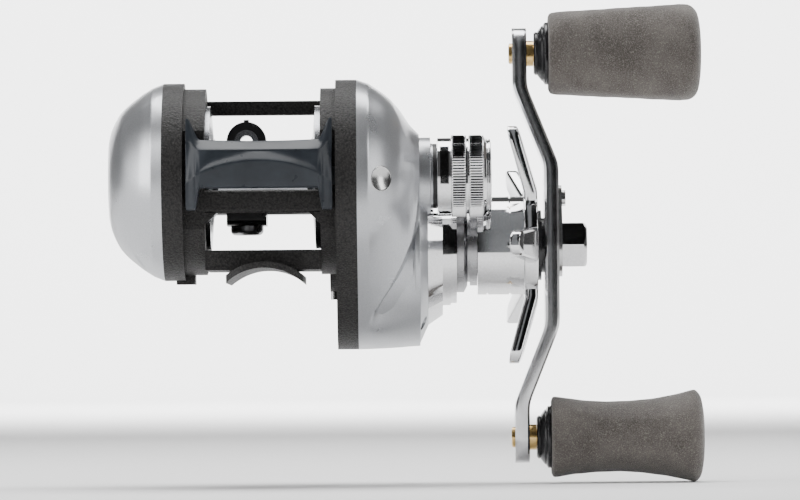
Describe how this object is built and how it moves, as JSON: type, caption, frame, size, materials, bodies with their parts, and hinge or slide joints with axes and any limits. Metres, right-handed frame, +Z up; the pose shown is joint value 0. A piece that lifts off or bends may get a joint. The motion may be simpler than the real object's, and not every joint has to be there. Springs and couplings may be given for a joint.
{
  "type": "baitcasting reel",
  "caption": "Low-profile baitcasting reel with silver side covers, star drag, chrome cast control cap and a double-knob crank handle.",
  "frame": {"origin": "middle of the foot's hollow underside, on its highest line", "axes": "+X to the handle side along every shaft, +Y forward to the rod tip, +Z up away from the rod"},
  "size_m": [0.1383, 0.0653, 0.1126],
  "materials": {
    "crinkle_black": "fine crinkle paint, almost black with a brown cast",
    "satin_silver": "satin silver paint with a very fine metallic grain",
    "slate_gloss": "glossy dark slate plastic",
    "chrome": "bright chrome plate",
    "brushed_grey": "turned and brushed grey aluminium",
    "spool_alloy": "satin machined alloy",
    "steel": "bright machined steel",
    "brass": "turned brass",
    "foam": "taupe closed-cell foam with fine dark speckle",
    "black_rubber": "black rubber",
    "black_plastic": "gloss black moulded plastic",
    "handle_alloy": "polished faces with a dark anodised edge",
    "carbon": "woven carbon friction disc",
    "magnet": "nickel-plated magnet"
  },
  "bodies": {
    "reel_body": {"frame": "crinkle_black", "palm_cover": "satin_silver", "gear_plate": "crinkle_black", "handle_side_shell": "satin_silver", "frame_screws": "steel", "shell_screws": "steel", "frame_set_screw": "steel", "port_screw": "steel", "spool_bearing_palm": "steel", "spool_bearing_handle": "steel", "drive_bearing": "steel", "one_way_bearing": "steel", "drag_collar": "chrome", "cast_o_ring": "black_rubber", "worm_bushings": "black_plastic", "worm_guard": "black_plastic", "guide_rod": "steel", "yoke_posts": "steel"},
    "crank": {"drive_shaft": "steel", "main_gear": "brass", "drag_washers": "carbon", "pressure_plate": "steel", "inner_tube": "brushed_grey", "drag_spring_washers": "steel", "level_wind_drive_gear": "black_plastic", "ratchet": "steel", "handle_washers": "black_plastic", "handle_arm": "handle_alloy", "handle_nut": "chrome", "nut_retainer": "steel", "retainer_screw": "steel", "knob_posts": "brass"},
    "star": {"star_hub": "chrome", "star_wheel": "chrome"},
    "knob_a": {"knob_a_boot": "black_plastic", "knob_a_bushing": "brass", "knob_a_grip": "foam"},
    "knob_b": {"knob_b_boot": "black_plastic", "knob_b_bushing": "brass", "knob_b_grip": "foam"},
    "spool_set": {"spool": "spool_alloy", "spool_shaft": "steel", "spool_pin": "steel", "brake_rotor": "spool_alloy"},
    "pinion_set": {"pinion": "brass"},
    "yoke": {"clutch_yoke": "black_plastic", "yoke_springs": "steel"},
    "thumb": {"thumb_bar": "slate_gloss", "clutch_plate": "steel"},
    "worm": {"worm_shaft": "steel", "worm_gear": "black_plastic"},
    "guide": {"line_guide": "black_plastic", "line_guide_insert": "spool_alloy", "line_pawl": "brass", "pawl_cap": "brushed_grey"},
    "cast_cap": {"cast_control_cap": "chrome", "tension_shim": "brass"},
    "dial": {"brake_dial": "black_plastic"},
    "magnets": {"magnet_holder": "black_plastic", "brake_magnets": "magnet"}
  },
  "joints": [
    {"name": "handle_crank", "type": "hinge", "parent": "reel_body", "child": "crank", "pos_m": [0, 0.0102, 0.0053], "axis": [1, 0, 0], "continuous": true},
    {"name": "star_drag_turn", "type": "hinge", "parent": "crank", "child": "star", "pos_m": [0, 0.0102, 0.0053], "axis": [1, 0, 0], "range_deg": [-360, 360]},
    {"name": "knob_a_spin", "type": "hinge", "parent": "crank", "child": "knob_a", "pos_m": [0, 0.0102, 0.0503], "axis": [1, 0, 0], "continuous": true},
    {"name": "knob_b_spin", "type": "hinge", "parent": "crank", "child": "knob_b", "pos_m": [0, 0.0102, -0.0397], "axis": [1, 0, 0], "continuous": true},
    {"name": "spool_spin", "type": "hinge", "parent": "reel_body", "child": "spool_set", "pos_m": [0, -0.004, 0.0213], "axis": [1, 0, 0], "continuous": true},
    {"name": "clutch_yoke_slide", "type": "slide", "parent": "reel_body", "child": "yoke", "axis": [1, 0, 0], "range_m": [0, 0.002]},
    {"name": "pinion_spin", "type": "hinge", "parent": "yoke", "child": "pinion_set", "pos_m": [0, -0.004, 0.0213], "axis": [1, 0, 0], "continuous": true},
    {"name": "thumb_bar_press", "type": "slide", "parent": "reel_body", "child": "thumb", "axis": [0, 0, -1], "range_m": [0, 0.005], "stiffness_N_per_m": 600, "springref_m": -0.002},
    {"name": "worm_spin", "type": "hinge", "parent": "reel_body", "child": "worm", "pos_m": [0, 0.0215, 0.017], "axis": [1, 0, 0], "continuous": true},
    {"name": "line_guide_travel", "type": "slide", "parent": "reel_body", "child": "guide", "axis": [1, 0, 0], "range_m": [-0.0033, 0.0123]},
    {"name": "cast_control_turn", "type": "hinge", "parent": "reel_body", "child": "cast_cap", "pos_m": [0, -0.004, 0.0213], "axis": [1, 0, 0], "range_deg": [-180, 540]},
    {"name": "brake_dial_turn", "type": "hinge", "parent": "reel_body", "child": "dial", "pos_m": [0, 0.011, 0.0155], "axis": [1, 0, 0], "range_deg": [0, 270]},
    {"name": "magnet_slide", "type": "slide", "parent": "reel_body", "child": "magnets", "axis": [-1, 0, 0], "range_m": [0, 0.0012]}
  ],
  "couplings": [
    {"joint": "spool_spin", "follows": "handle_crank", "ratio": -5.4},
    {"joint": "pinion_spin", "follows": "handle_crank", "ratio": -5.4},
    {"joint": "worm_spin", "follows": "handle_crank", "ratio": -1.9},
    {"joint": "clutch_yoke_slide", "follows": "thumb_bar_press", "ratio": 0.4},
    {"joint": "magnet_slide", "follows": "brake_dial_turn", "m_per_rad": 0.00025465}
  ]
}
